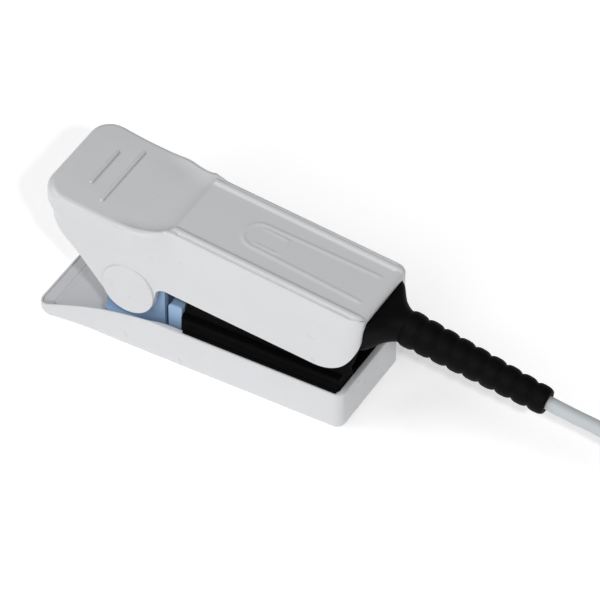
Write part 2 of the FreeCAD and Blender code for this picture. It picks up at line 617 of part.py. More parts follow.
def cable_tie():
    """A band round the waist of the hank."""
    mid = (HANK_X0 + HANK_X1) / 2
    half, high = HANK_WAIST + TIE_THICK, HANK_HIGH + TIE_THICK
    outer = box(mid - TIE_HALF, mid + TIE_HALF, -half, half, 0, high)
    outer = outer.makeFillet(2.0, [e for e in outer.Edges if e.BoundBox.XLength > 2 * TIE_HALF - EPS])
    inner = box(mid - TIE_HALF - 1, mid + TIE_HALF + 1, -HANK_WAIST, HANK_WAIST, TIE_THICK, HANK_HIGH)
    inner = inner.makeFillet(1.2, [e for e in inner.Edges if e.BoundBox.XLength > 2 * TIE_HALF])
    return outer.cut(inner)


def plug_relief():
    bell = Part.makeCone(2.6, 4.2, 14.0, V(PLUG_X, 0, PLUG_Z), V(1, 0, 0))
    for i in range(5):
        x = PLUG_X + 1.6 + 2.2 * i
        ring = rod((x, 0, PLUG_Z), (1, 0, 0), 8, 0.9).cut(rod((x - 1, 0, PLUG_Z), (1, 0, 0), 2.4 + 0.24 * i, 4))
        bell = bell.cut(ring)
    return bell.cut(rod((PLUG_X - 1, 0, PLUG_Z), (1, 0, 0), CABLE_D / 2, 1.8))


HOOD_X0 = PLUG_X + 14.0
HOOD_X1 = HOOD_X0 + HOOD_LONG


def plug_hood():
    """The two moulded halves of the plug's hood, split along its middle."""
    taper = polygon_prism([(HOOD_X0, -7.5, 0), (HOOD_X0 + 12, -HOOD_HALF, 0), (HOOD_X1, -HOOD_HALF, 0),
                           (HOOD_X1, HOOD_HALF, 0), (HOOD_X0 + 12, HOOD_HALF, 0), (HOOD_X0, 7.5, 0)],
                          (0, 0, HOOD_HIGH))
    body = taper.makeFillet(1.6, [e for e in taper.Edges if abs(e.CenterOfMass.z) < EPS
                                  or abs(e.CenterOfMass.z - HOOD_HIGH) < EPS])
    hollow = box(HOOD_X0 + 3, HOOD_X1 - 2, -7.0, 7.0, 2.2, HOOD_HIGH - 2.2)
    flange_slot = box(HOOD_X1 - 2.4, HOOD_X1 - 0.8, -14.2, 14.2, 1.4, HOOD_HIGH - 1.4)
    mouth = box(HOOD_X1 - 4, HOOD_X1 + 1, -9.2, 9.2, 2.6, HOOD_HIGH - 2.6)
    hood = body.cut(hollow).cut(flange_slot).cut(mouth)
    for side in (-1, 1):
        for i in range(5):
            x = HOOD_X0 + 15.0 + 2.6 * i
            y = side * HOOD_HALF
            hood = hood.cut(box(x, x + 1.2, min(y, y - side * 0.6), max(y, y - side * 0.6), -1, 20))
    low = hood.common(box(0, 400, -30, 30, -1, PLUG_Z))
    high = hood.common(box(0, 400, -30, 30, PLUG_Z, 30))
    return low, high


def d_outline(half_long, half_short, x, corner):
    """The five-sided D of the connector, upright in the plane across X."""
    slope = half_short * 2 * math.tan(math.radians(10))
    points = [(x, -half_long, PLUG_Z + half_short), (x, half_long, PLUG_Z + half_short),
              (x, half_long - slope, PLUG_Z - half_short), (x, -half_long + slope, PLUG_Z - half_short)]
    solid = polygon_prism(points, (1, 0, 0))
    solid = solid.makeFillet(corner, [e for e in solid.Edges if e.BoundBox.XLength > 0.9])
    return [f for f in solid.Faces if abs(f.CenterOfMass.x - x) < EPS][0]


def plug_shell():
    """The connector's pressed metal flange and its D-shaped skirt."""
    flange = box(HOOD_X1 - 2.3, HOOD_X1 - 1.3, -14.1, 14.1, 1.5, HOOD_HIGH - 1.5)
    skirt = d_outline(8.45, 4.15, HOOD_X1 - 1.4, 2.2).extrude(V(7.2, 0, 0))
    inner = d_outline(8.0, 3.7, HOOD_X1 - 4, 1.8).extrude(V(12, 0, 0))
    return fuse(flange, skirt).cut(inner)


def plug_insulator():
    return d_outline(7.95, 3.65, HOOD_X1 - 3.6, 1.75).extrude(V(3.4, 0, 0))


def plug_contacts():
    pins = []
    for row, count in ((1, 5), (-1, 4)):
        for i in range(count):
            y = (i - (count - 1) / 2) * 2.74
            z = PLUG_Z + row * 1.42
            pin = rod((HOOD_X1 - 0.2, y, z), (1, 0, 0), 0.5, 4.6)
            tip = Part.makeSphere(0.5, V(HOOD_X1 + 4.4, y, z))
            pins.append(fuse(pin, tip))
    return Part.makeCompound(pins)


# ---- write the parts ----
def main():
    os.makedirs("parts", exist_ok=True)
    hood_low, hood_high = plug_hood()
    cap = hinge_cap()
    nodes = {
        "lower_shell": lower_shell(),
        "lower_frame": lower_frame(),
        "lower_frame_screws": Part.makeCompound([screw(x, y, FRAME_Z1, 3.4) for x, y in LOWER_SCREWS]),
        "lower_pad": lower_pad(),
        "detector_board": detector_board(),
        "photodiode": photodiode(),
        "detector_window": detector_window(),
        "upper_shell": in_jaw(upper_shell()),
        "upper_frame": in_jaw(upper_frame()),
        "upper_frame_screws": in_jaw(Part.makeCompound(
            [flipped_screw(x, y, CARRIER_Z0, 5.6) for x, y in UPPER_SCREWS])),
        "upper_pad": in_jaw(upper_pad()),
        "emitter_board": in_jaw(emitter_board()),
        "emitter_leds": in_jaw(emitter_leds()),
        "emitter_window": in_jaw(emitter_window()),
        "emitter_leads": in_jaw(emitter_leads()),
        "detector_leads": detector_leads(),
        "strain_relief": in_jaw(strain_relief()),
        "cable_end": in_jaw(cable_end()),
        "cable_clamp": in_jaw(cable_clamp()),
        "hinge_pin": hinge_pin(),
        "torsion_spring": torsion_spring(),
        "hinge_cap_left": in_jaw(cap),
        "hinge_cap_right": in_jaw(cap.mirror(V(0, 0, 0), V(0, 1, 0))),
        "cable_lead": cable_lead(),
        "cable_hank": cable_hank(),
        "cable_tail": cable_tail(),
        "cable_tie": cable_tie(),
        "plug_relief": plug_relief(),
        "plug_hood_lower": hood_low,
        "plug_hood_upper": hood_high,
        "plug_shell": plug_shell(),
        "plug_insulator": plug_insulator(),
        "plug_contacts": plug_contacts(),
    }
    for name, shape in nodes.items():
        solids = shape.Solids
        print(f"{name}: {len(solids)} solid, valid {shape.isValid()}, volume {shape.Volume:.1f}")
        keep = solids[0] if len(solids) == 1 else Part.makeCompound(solids)
        keep.exportStep(f"parts/{name}.step")


main()
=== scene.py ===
import json
import math

import bmesh
import bpy
import numpy as np
from mathutils import Matrix, Vector


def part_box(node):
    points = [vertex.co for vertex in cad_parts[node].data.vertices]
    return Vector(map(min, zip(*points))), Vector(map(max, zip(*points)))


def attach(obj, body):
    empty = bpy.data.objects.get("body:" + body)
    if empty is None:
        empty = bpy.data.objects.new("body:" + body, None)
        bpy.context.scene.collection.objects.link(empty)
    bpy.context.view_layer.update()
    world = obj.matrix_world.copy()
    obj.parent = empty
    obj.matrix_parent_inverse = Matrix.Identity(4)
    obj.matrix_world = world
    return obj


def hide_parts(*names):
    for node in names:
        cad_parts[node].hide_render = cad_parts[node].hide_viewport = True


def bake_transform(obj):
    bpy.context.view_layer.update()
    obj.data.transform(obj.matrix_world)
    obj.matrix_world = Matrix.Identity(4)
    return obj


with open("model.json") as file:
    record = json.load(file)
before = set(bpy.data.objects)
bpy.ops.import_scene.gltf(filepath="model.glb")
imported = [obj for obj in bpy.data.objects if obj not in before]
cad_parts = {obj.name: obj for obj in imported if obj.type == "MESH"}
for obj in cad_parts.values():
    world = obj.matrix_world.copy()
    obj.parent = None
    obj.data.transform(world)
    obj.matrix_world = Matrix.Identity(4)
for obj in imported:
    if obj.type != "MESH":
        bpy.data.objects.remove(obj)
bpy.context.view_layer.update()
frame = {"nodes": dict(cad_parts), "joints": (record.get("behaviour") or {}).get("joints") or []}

# A finger clip sensor on its cable. Lengths are in millimetres, and MM turns them into metres.
MM = 0.001
HINGE = Vector(frame["joints"][0]["pos_m"]) / MM
CLOSED_TILT = 5.73                    # the upper jaw's nose-down angle when closed

# ---- the upper jaw's own measures, with the hinge at its origin ----
UPPER_EDGE_Z = 4.0                    # the side wall's straight lower edge
UPPER_TOP_Z = 19.5                    # the rails along the panel
NOSE_X, NOSE_R = 52.1, 8.8            # the front, and the round below it
THUMB_X, THUMB_HALF, THUMB_CORNER = -21.9, 13.3, 5.2
DISH_Z = 17.4                         # the thumb pad's dish
TOP_HALF, SIDE_HALF = 9.9, 11.5       # half widths at the top and at the lower edge
CAP_R = 6.1                           # the round ear behind the hinge cap
WALL = 1.5
GRIP_RIBS = ((-14.0, 5.2, 0.36), (-9.6, 8.2, 0.1))      # place along, half length, height above the dish
GRIP_RIB_R = 0.42
UPPER_POSTS = ((4.2, 6.4, 16.2), (45.4, 6.9, 17.6))     # place along and across, top
UPPER_POST_R, UPPER_POST_Z = 1.9, 9.75

# ---- cable ----
CABLE_D = 3.0
LEAD_ROUTE = [(73.65, 0.0, 17.64), (79.6, -0.05, 16.63), (87.2, 0.0, 15.95), (95.0, 0.4, 12.9),
              (103.5, 0.2, 7.2), (112.8, -3.3, 2.7), (120.3, -6.35, 1.85), (127.4, -9.1, 1.6)]
TAIL_ROUTE = [(181.0, -3.3, 11.55), (185.6, -2.4, 11.85), (190.6, -1.3, 11.0), (196.8, -0.3, 8.9),
              (203.8, 0.0, 7.5)]
HANK_END_R, HANK_WAIST = 13.7, 8.5
TIE_THICK = 0.9


# ---- mesh helpers ----
def jaw_matrix():
    """From the upper jaw's own millimetres to the row frame's metres."""
    turn = Matrix.Rotation(math.radians(CLOSED_TILT), 4, "Y")
    return Matrix.Scale(MM, 4) @ Matrix.Translation(HINGE) @ turn


def smooth(t):
    """An eased step from 0 to 1."""
    t = np.clip(t, 0.0, 1.0)
    return t * t * (3 - 2 * t)


def new_object(name, verts, faces, matrix=None, sharp_over=40.0):
    """A mesh object from points and faces, welded, with its outside facing out and smooth shading."""
    mesh = bpy.data.meshes.new(name)
    mesh.from_pydata([tuple(v) for v in verts], [], [tuple(int(i) for i in f) for f in faces])
    bm = bmesh.new()
    bm.from_mesh(mesh)
    bmesh.ops.remove_doubles(bm, verts=bm.verts, dist=1e-4)
    bmesh.ops.recalc_face_normals(bm, faces=bm.faces)
    bm.to_mesh(mesh)
    bm.free()
    mesh.transform(matrix if matrix is not None else Matrix.Scale(MM, 4))
    mesh.shade_smooth()
    obj = bpy.data.objects.new(name, mesh)
    bpy.context.scene.collection.objects.link(obj)
    mark_sharp(mesh, sharp_over)
    return obj


def mark_sharp(mesh, degrees):
    """Keeps a crease at the edges that turn by more than an angle, and at open ones."""
    bm = bmesh.new()
    bm.from_mesh(mesh)
    limit = math.radians(degrees)
    for e in bm.edges:
        e.smooth = len(e.link_faces) == 2 and e.calc_face_angle(0.0) < limit
    bm.to_mesh(mesh)
    bm.free()


def copy_of_node(node, name):
    """A new piece with the CAD node's shape, welded, that stands for it."""
    source = frame["nodes"][node]
    mesh = source.data.copy()
    mesh.materials.clear()
    bm = bmesh.new()
    bm.from_mesh(mesh)
    bmesh.ops.remove_doubles(bm, verts=bm.verts, dist=2e-6)
    bmesh.ops.dissolve_degenerate(bm, edges=bm.edges, dist=1e-6)
    bm.to_mesh(mesh)
    bm.free()
    obj = bpy.data.objects.new(name, mesh)
    bpy.context.scene.collection.objects.link(obj)
    return obj


def bevel(obj, width, segments, degrees):
    """Rounds the edges that turn by more than an angle."""
    mod = obj.modifiers.new("rounded_edges", "BEVEL")
    mod.width = width * MM
    mod.segments = segments
    mod.limit_method = "ANGLE"
    mod.angle_limit = math.radians(degrees)
    mod.miter_outer = "MITER_ARC"


def apply_modifiers(obj):
    """Bakes the modifiers into the mesh."""
    evaluated = obj.evaluated_get(bpy.context.evaluated_depsgraph_get())
    mesh = bpy.data.meshes.new_from_object(evaluated)
    obj.modifiers.clear()
    obj.data = mesh


def finish_piece(obj, body, slot, material, *nodes):
    """Gives a piece its material and its body, and hides the CAD nodes that it stands for; slot is not used.
    """
    obj.data.materials.clear()
    obj.data.materials.append(material)
    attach(obj, body)
    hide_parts(*nodes)


# ---- upper shell, in the jaw's own frame ----
def half_width(x, z):
    """Half width of the upper shell at a place along it and a height above the hinge."""
    flare = smooth((10.0 - x) / 12.0)
    up = np.clip((z - UPPER_EDGE_Z) / (UPPER_TOP_Z - UPPER_EDGE_Z), 0.0, 1.0)
    slim = SIDE_HALF - (SIDE_HALF - TOP_HALF) * up ** 1.6
    wide = SIDE_HALF + (THUMB_HALF - SIDE_HALF) * up
    nose = np.clip((x - (NOSE_X - 3.2)) / 3.2, 0.0, 1.0)
    return slim + (wide - slim) * flare - 1.8 * (1 - np.sqrt(1 - nose ** 2))


def round_end(x, start, end, drop):
    """A quarter-round fall from start to end."""
    t = np.clip((x - start) / (end - start), 0.0, 1.0)
    return -drop * (1 - np.sqrt(1 - t ** 2))


def ridge(distance, half):
    """A low rounded ridge's height, 1 on its line."""
    return np.exp(-(distance / half) ** 2)


def finger_relief(x, y):
    """The raised outline of a finger on the panel, with its nail."""
    tip_x, tip_long, tip_half = 22.6, 3.2, 3.5
    edge = tip_half + (x - tip_x) * 0.03
    tip = np.hypot((x - tip_x) / tip_long, y / tip_half)
    away = np.where(x < tip_x, (tip - 1.0) * tip_half, np.abs(y) - edge)
    fade = smooth((49.3 - x) / 1.2)
    outline = 0.2 * ridge(away, 0.38) * fade
    plateau = 0.06 * smooth((-away + 0.2) / 0.4) * fade
    nail_side = ridge(np.abs(y) - 2.3, 0.28) * smooth((x - 22.2) / 1.0) * smooth((28.8 - x) / 0.5)
    nail_end = ridge(x - 28.4, 0.32) * smooth((2.6 - np.abs(y)) / 0.5)
    return outline + plateau + 0.13 * np.maximum(nail_side, nail_end)


def top_height(x, y):
    """Height of the outer skin's top: the dished thumb pad, then the panel between its rails."""
    side = np.abs(y)
    level = UPPER_TOP_Z + 0.1 - 0.4 * np.clip((x - 8.5) / 42.4, 0.0, 1.0)
    sunk = smooth((7.8 - side) / 0.55) * smooth((50.6 - x) / 0.5)
    crown = 0.17 * np.clip((side - 8.3) / 0.6, -1.2, 1.2) ** 2 * (1 - sunk)
    along = smooth((50.4 - x) / 0.6) * smooth((x - 8.2) / 1.2)
    groove = (0.26 * ridge(side - 9.22, 0.2) + 0.2 * smooth((side - 9.0) / 0.3)) * along
    body = level - 0.5 * sunk - crown - groove + finger_relief(x, y) + round_end(x, NOSE_X - 1.7, NOSE_X, 1.0)
    across = np.clip(side - 6.0, 0.0, None) / 7.8 * (0.5 + 0.5 * smooth((x + 8.0) / 8.0))
    reach = np.hypot(np.clip(x + 2.0, 0.0, None) / 9.6, across)
    rear = 0.9 * (np.clip(-7.0 - x, 0.0, None) / 13.3) ** 2
    scoop = DISH_Z + rear - 0.15 * smooth(reach / 0.5) + 1.9 * reach ** 4.6
    blend = 0.09                      # eases the crease between panel and dish
    return np.minimum(body, scoop) - blend * np.exp(-np.abs(body - scoop) / blend) * 0.5


def roof_height(x):
    """Height of the inner skin's roof."""
    return np.interp(x, [4.0, 9.5, 70.0], [DISH_Z - 1.6, UPPER_TOP_Z - 1.9, UPPER_TOP_Z - 2.3])


def wall_foot(x):
    """Lower edge of the side wall: the ear round the hinge, the straight edge, the round nose."""
    low_x, low_z = THUMB_X + 1.3, 11.5
    far, toward = math.hypot(low_x, low_z), math.atan2(low_z, low_x)
    turn = math.acos(CAP_R / far)
    foot_x, foot_z = CAP_R * math.cos(toward + turn), CAP_R * math.sin(toward + turn)
    slope = low_z + (x - low_x) * (foot_z - low_z) / (foot_x - low_x)
    ear = -np.sqrt(np.clip(CAP_R ** 2 - x ** 2, 0.0, None))
    throat = UPPER_EDGE_Z - 2.6 * (1 - np.sqrt(np.clip(1 - ((8.7 - x) / 2.6) ** 2, 0.0, 1.0)))
    nose = UPPER_EDGE_Z + NOSE_R - np.sqrt(np.clip(NOSE_R ** 2 - (x - NOSE_X + NOSE_R) ** 2, 0.0, None))
    foot = np.where(x < foot_x, np.minimum(slope, low_z), np.where(x <= CAP_R + 1e-6, ear, throat))
    foot = np.where(x > 8.7, UPPER_EDGE_Z, foot)
    return np.where(x > NOSE_X - NOSE_R, nose, foot)


def upper_stations():
    """Places along the jaw, closer together at its features, with the rear corner's angle."""
    corner = [(THUMB_X, a) for a in np.linspace(0, 90, 12)]
    rest = list(np.linspace(THUMB_X + THUMB_CORNER, -4.3, 18)[1:])
    rest += [CAP_R * math.sin(math.radians(a)) for a in np.linspace(-44, 90, 27)[1:]]
    rest += list(np.linspace(CAP_R, 9.6, 15)[1:]) + list(np.linspace(9.6, 19.0, 12)[1:])
    rest += list(np.linspace(19.0, 30.5, 36)[1:]) + list(np.linspace(30.5, NOSE_X - NOSE_R, 15)[1:])
    rest += [NOSE_X - NOSE_R + NOSE_R * math.sin(math.radians(a)) for a in np.linspace(0, 90, 26)[1:]]
    return corner + [(x, 90.0) for x in rest]


# The top's grid lines on one side, closest at the panel's edge and the rail's groove.
PANEL_LINES = [0, 0.6, 1.2, 1.5, 1.75, 2.0, 2.3, 2.6, 2.9, 3.2, 3.5, 3.8, 4.1, 4.4, 4.7, 5.0, 5.3, 5.6, 5.9,
               6.3, 6.8, 7.2, 7.32, 7.44, 7.56, 7.68, 7.9, 8.15, 8.4, 8.6, 8.78, 8.9, 9.02, 9.12, 9.22, 9.34,
               9.45]


def shell_skin(inner):
    """One skin of the upper shell: the top's grid and the columns that go down from its edge."""
    lines = np.array([-v for v in PANEL_LINES[:0:-1]] + PANEL_LINES) / PANEL_LINES[-1]
    stations = upper_stations()
    inset = WALL if inner else 0.0

    def edge_point(x, angle, z, share, side):
        """A place on the wall's surface: along the jaw, round the rear corner, or across the rear."""
        thick = inset - (0.7 * smooth((x - 49.0) / 3.1) if inner else 0.0)
        lean = 1.3 * np.clip((13.6 - z) / 2.1, 0.0, 1.0) * smooth((-10.0 - x) / 6.7)
        turn = math.radians(angle)
        radius = THUMB_CORNER - (1.6 if inner else 0.0)
        back = (1.7 if inner else 0.0) if x < THUMB_X + THUMB_CORNER + 1e-6 else 0.0
        px = x + back + (radius * (1 - math.cos(turn)) if x == THUMB_X else 0.0) + lean
        half = half_width(px, z) - thick
        if x == THUMB_X:
            half -= radius * (1 - math.sin(turn))
        return px, side * half * share, z

    def round_of(x):
        """Radius of the rounded edge round the top."""
        if inner:
            return 0.8
        return 1.5 - 1.02 * smooth((x - 1.0) / 8.0)

    def column(x, angle, share, side, normal):
        """From the top's edge over the rounded edge and down the wall."""
        r = float(round_of(x))
        ex, ey, _ = edge_point(x, angle, 17.0, share, side)
        top = float(roof_height(ex) if inner else top_height(ex - normal[0] * r, ey - normal[1] * r))
        points = []
        for a in np.linspace(0, 90, 6):
            a = math.radians(a)
            z = top - r * (1 - math.cos(a))
            px, py, _ = edge_point(x, angle, z, share, side)
            pull = r * (1 - math.sin(a))
            points.append((px - normal[0] * pull, py - normal[1] * pull, z))
        fx, _, _ = edge_point(x, angle, 5.0, share, side)
        foot = float(wall_foot(fx))
        for t in np.linspace(0, 1, 15)[1:]:
            z = (top - r) + (foot - top + r) * t
            points.append(edge_point(x, angle, z, share, side))
        return points

    verts, faces = [], []

    def add_strip(columns):
        """Faces between neighbouring columns."""
        start, tall = len(verts), len(columns[0])
        for c in columns:
            verts.extend(c)
        for i in range(len(columns) - 1):
            for k in range(tall - 1):
                a = start + i * tall + k
                faces.append((a, a + 1, a + tall + 1, a + tall))

    ring = []
    for x, angle in stations[::-1]:
        turn = math.radians(angle)
        ring.append(column(x, angle, 1.0, -1, (-math.cos(turn), -math.sin(turn))))
    ring += [column(THUMB_X, 0.0, abs(s), math.copysign(1, s), (-1.0, 0.0)) for s in lines[1:-1]]
    for x, angle in stations:
        turn = math.radians(angle)
        ring.append(column(x, angle, 1.0, 1, (-math.cos(turn), math.sin(turn))))
    add_strip(ring)

    count = len(stations)
    start = len(verts)
    for i, (x, angle) in enumerate(stations):
        near, far = ring[count - 1 - i][0], ring[len(ring) - count + i][0]
        for s in lines:
            px, py = near[0], far[1] * s
            z = float(roof_height(px) if inner else top_height(px, py))
            verts.append((px, py, z))
    wide = len(lines)
    for i in range(count - 1):
        for k in range(wide - 1):
            a = start + i * wide + k
            faces.append((a, a + 1, a + wide + 1, a + wide))
    rim = [c[-1] for c in ring]
    mouth = [verts[start + (count - 1) * wide + k] for k in range(wide)]
    front = (ring[0], mouth, ring[-1])
    return verts, faces, rim, front


def join_rims(verts, faces, outer, inner):
    """Faces between two equally long rows of places."""
    start = len(verts)
    verts.extend(outer)
    verts.extend(inner)
    n = len(outer)
    for k in range(n - 1):
        faces.append((start + k, start + k + 1, start + n + k + 1, start + n + k))


def capsule(verts, faces, x, z, half, radius):
    """A low rounded bar across the jaw."""
    sides, steps = 12, 6
    ends = [(-half - radius * math.cos(math.radians(a)), radius * math.sin(math.radians(a)))
            for a in np.linspace(5, 90, steps)]
    rings = ends + [(-y, r) for y, r in reversed(ends)]
    start = len(verts)
    for y, r in rings:
        verts.extend((x + r * math.cos(2 * math.pi * k / sides), y, z + r * math.sin(2 * math.pi * k / sides))
                     for k in range(sides))
    for i in range(len(rings) - 1):
        for k in range(sides):
            n = (k + 1) % sides
            faces.append((start + i * sides + k, start + i * sides + n,
                          start + (i + 1) * sides + n, start + (i + 1) * sides + k))
    faces.append(tuple(range(start, start + sides)))
    faces.append(tuple(range(start + (len(rings) - 1) * sides, start + len(rings) * sides)))


def post(verts, faces, x, y, radius, z0, z1, sides=20):
    """An upright screw post or peg."""
    start = len(verts)
    for z in (z0, z1):
        verts.extend((x + radius * math.cos(2 * math.pi * k / sides),
                      y + radius * math.sin(2 * math.pi * k / sides), z) for k in range(sides))
    for k in range(sides):
        n = (k + 1) % sides
        faces.append((start + k, start + n, start + sides + n, start + sides + k))
    faces.append(tuple(range(start, start + sides)))
    faces.append(tuple(range(start + sides, start + 2 * sides)))


def make_upper_shell(material):
    """Two skins joined at their rims, with the thumb pad's grip ribs and the screw posts."""
    verts, faces, rim, front = shell_skin(False)
    inner_verts, inner_faces, inner_rim, inner_front = shell_skin(True)
    offset = len(verts)
    verts = verts + inner_verts
    faces = faces + [tuple(i + offset for i in f) for f in inner_faces]
    join_rims(verts, faces, rim, inner_rim)
    for a, b in zip(front, inner_front):
        join_rims(verts, faces, a, b)
    for x, half, rise in GRIP_RIBS:
        capsule(verts, faces, x, DISH_Z + rise, half, GRIP_RIB_R)
    for x, y, top in UPPER_POSTS:
        for side in (-1, 1):
            post(verts, faces, x, side * y, UPPER_POST_R, UPPER_POST_Z, top)
    shell = new_object("upper_shell_skin", verts, faces, jaw_matrix(), sharp_over=50.0)
    bevel(shell, 0.28, 3, 50.0)
    finish_piece(shell, "upper_jaw", "shell_plastic", material, "upper_shell")


# ---- lower shell ----
LOWER_REAR_X, LOWER_FRONT_X, LOWER_HALF = -38.6, 34.1, 12.3
CAD_LOWER_HALF = 11.5                 # the CAD shell is narrower, and the CAD pad fits it
LOWER_REAR_R, LOWER_FRONT_R = 3.6, 2.0
TAB_FLARE = 0.72                      # what the finger tab adds on each side at its rear
RIM_Z, TAB_Z, TAB_RISE_X, FLOOR_Z = 9.3, 2.0, -11.5, 1.5
EDGE_R = 1.0                          # round between the underside and the side
# Place along and across, radius, and number of sides.
LOWER_POSTS = ((-21.2, 5.4, 2.3, 24), (-2.0, 7.7, 1.6, 4), (27.0, 7.7, 1.6, 4))
LOWER_POST_TOP, POST_SINK = 4.0, 0.2


def rim_height(x):
    """The side wall's top: an arc up from the rear lip, then level."""
    ax, az, cx, cz = LOWER_REAR_X, TAB_Z, TAB_RISE_X, RIM_Z
    bx, bz = (ax + cx) / 2 - 0.3, (az + cz) / 2 + 0.95
    d = 2 * (ax * (bz - cz) + bx * (cz - az) + cx * (az - bz))
    a2, b2, c2 = ax ** 2 + az ** 2, bx ** 2 + bz ** 2, cx ** 2 + cz ** 2
    ux = (a2 * (bz - cz) + b2 * (cz - az) + c2 * (az - bz)) / d
    uz = (a2 * (cx - bx) + b2 * (ax - cx) + c2 * (bx - ax)) / d
    radius = math.hypot(ax - ux, az - uz)
    return RIM_Z if x > cx else uz + math.sqrt(max(0.0, radius ** 2 - (x - ux) ** 2))


def under_hollow(x):
    """The shallow hollow across the underside, for the finger below the tab."""
    depth, half = 0.7, 7.0
    radius = (half ** 2 + depth ** 2) / (2 * depth)
    return max(0.0, depth - radius + math.sqrt(max(0.0, radius ** 2 - (x + 28.0) ** 2)))


def lower_stations():
    """Places along the shell with the corner's angle: 0 at the rear, 90 along the sides, 180 at the front."""
    places = [(LOWER_REAR_X + LOWER_REAR_R * (1 - math.cos(math.radians(a))), a)
              for a in np.linspace(0, 90, 13)]
    first, last = LOWER_REAR_X + LOWER_REAR_R, LOWER_FRONT_X - LOWER_FRONT_R
    places += [(x, 90.0) for x in np.linspace(first, TAB_RISE_X, 30)[1:]]
    places += [(x, 90.0) for x in np.linspace(TAB_RISE_X, last, 24)[1:]]
    places += [(last + LOWER_FRONT_R * math.sin(math.radians(a)), 90.0 + a)
               for a in np.linspace(0, 90, 11)[1:]]
    return places


def lower_column(x, angle, side):
    """A section of the wall: from the underside, up the outside, over the rim and down to the floor."""
    turn = math.radians(angle)
    radius = LOWER_REAR_R if angle <= 90 else LOWER_FRONT_R
    half = LOWER_HALF + TAB_FLARE * float(smooth((-22.0 - x) / 17.0))
    if angle != 90:
        half -= radius * (1 - math.sin(turn))
    nx, ny = math.cos(turn), -side * math.sin(turn)
    rim, under = rim_height(x), under_hollow(x)
    tab = float(smooth((-8.0 - x) / 4.0))
    rear = float(smooth((-33.0 - x) / 4.0))
    thick = 1.4 - 0.85 * tab
    lower_thick = 1.4 + 1.3 * rear
    profile = [(EDGE_R, under)]
    for a in np.linspace(15, 90, 6):
        a = math.radians(a)
        lift = under * math.cos(a)
        profile.append((EDGE_R - EDGE_R * math.sin(a), lift + EDGE_R * (1 - math.cos(a))))
    top_r = min(0.28, thick * 0.45)
    profile.append((0.0, EDGE_R + (rim - top_r - EDGE_R) * 0.5))
    for a in np.linspace(0, 90, 4):
        a = math.radians(a)
        profile.append((top_r * (1 - math.cos(a)), rim - top_r * (1 - math.sin(a))))
    for a in np.linspace(0, 90, 4):
        a = math.radians(a)
        profile.append((thick - top_r * (1 - math.sin(a)), rim - top_r * (1 - math.cos(a))))
    base = min(FLOOR_Z, rim - 0.45)
    drop = max(0.05, rim - top_r - base)
    foot = min(0.8, drop * 0.6)
    depth = min(2.6, drop * 0.7)
    profile.append(((thick + lower_thick) / 2, rim - top_r - depth * 0.5))
    profile.append((lower_thick, rim - top_r - depth))
    for a in np.linspace(20, 90, 4):
        a = math.radians(a)
        profile.append((lower_thick + foot * (1 - math.cos(a)), base + foot * (1 - math.sin(a))))
    return [(x + nx * d, side * half + ny * d, z) for d, z in profile]


def make_lower_shell(material):
    """The sections joined into a ring, closed below and inside, with the posts on its floor."""
    places = lower_stations()
    near = [lower_column(x, a, -1) for x, a in places]
    far = [lower_column(x, a, 1) for x, a in places]
    ring = near[::-1] + far
    verts, faces = [], []
    tall = len(ring[0])
    for column in ring:
        verts.extend(column)
    for i in range(len(ring)):
        after = (i + 1) % len(ring)
        for k in range(tall - 1):
            faces.append((i * tall + k, i * tall + k + 1, after * tall + k + 1, after * tall + k))
    count = len(places)
    for i in range(count - 1):
        for k in (0, tall - 1):
            a, b = (count - 1 - i) * tall + k, (count - 2 - i) * tall + k
            c, d = (count + i + 1) * tall + k, (count + i) * tall + k
            faces.append((a, b, c, d))
    for side in (-1, 1):
        for x, y, radius, sides in LOWER_POSTS:
            post(verts, faces, x, side * y, radius, FLOOR_Z - POST_SINK, LOWER_POST_TOP, sides)
    shell = new_object("lower_shell_skin", verts, faces, sharp_over=50.0)
    finish_piece(shell, "lower_jaw", "shell_plastic", material, "lower_shell")


# ---- soft rubber ----
def soften(obj, voxel, rounds):
    """Rebuilds a closed mesh in even small faces and rounds its edges as moulded rubber has them."""
    remesh = obj.modifiers.new("even_faces", "REMESH")
    remesh.mode = "VOXEL"
    remesh.voxel_size = voxel * MM
    ease = obj.modifiers.new("soft_edges", "SMOOTH")
    ease.factor = 0.5
    ease.iterations = rounds
    apply_modifiers(obj)
    obj.data.shade_smooth()


def make_pads(material):
    """The two rubber pads. The lower one is as much wider than in CAD as its shell is."""
    for node, body in (("lower_pad", "lower_jaw"), ("upper_pad", "upper_jaw")):
        pad = copy_of_node(node, node + "_rubber")
        if node == "lower_pad":
            pad.data.transform(Matrix.Diagonal((1.0, LOWER_HALF / CAD_LOWER_HALF, 1.0, 1.0)))
        soften(pad, 0.32, 3)
        finish_piece(pad, body, "pad_rubber", material, node)


def bending_wire(node, material):
    """A copy of a CAD wire with one end in each jaw, with its material and smooth shading, in place of the
    node.
    """
    wire = copy_of_node(node, node + "_wire")
    wire.data.materials.append(material)
    wire.data.shade_smooth()
    mark_sharp(wire.data, 50.0)
    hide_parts(node)
    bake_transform(wire)


def make_bending_parts(materials):
    """The spring's wire and the detector's leads."""
    bending_wire("torsion_spring", materials["spring"])
    bending_wire("detector_leads", materials["lead"])


# ---- strain relief, in the jaw's own frame ----
RELIEF_START_X, RELIEF_END_X, RELIEF_BASE_Z, RELIEF_DROOP = 57.5, 90.6, 13.3, 3.95
RELIEF_RIBS, RELIEF_BASE_R, RELIEF_TIP_R, RIB_DEPTH = 9, 3.95, 2.95, 0.52


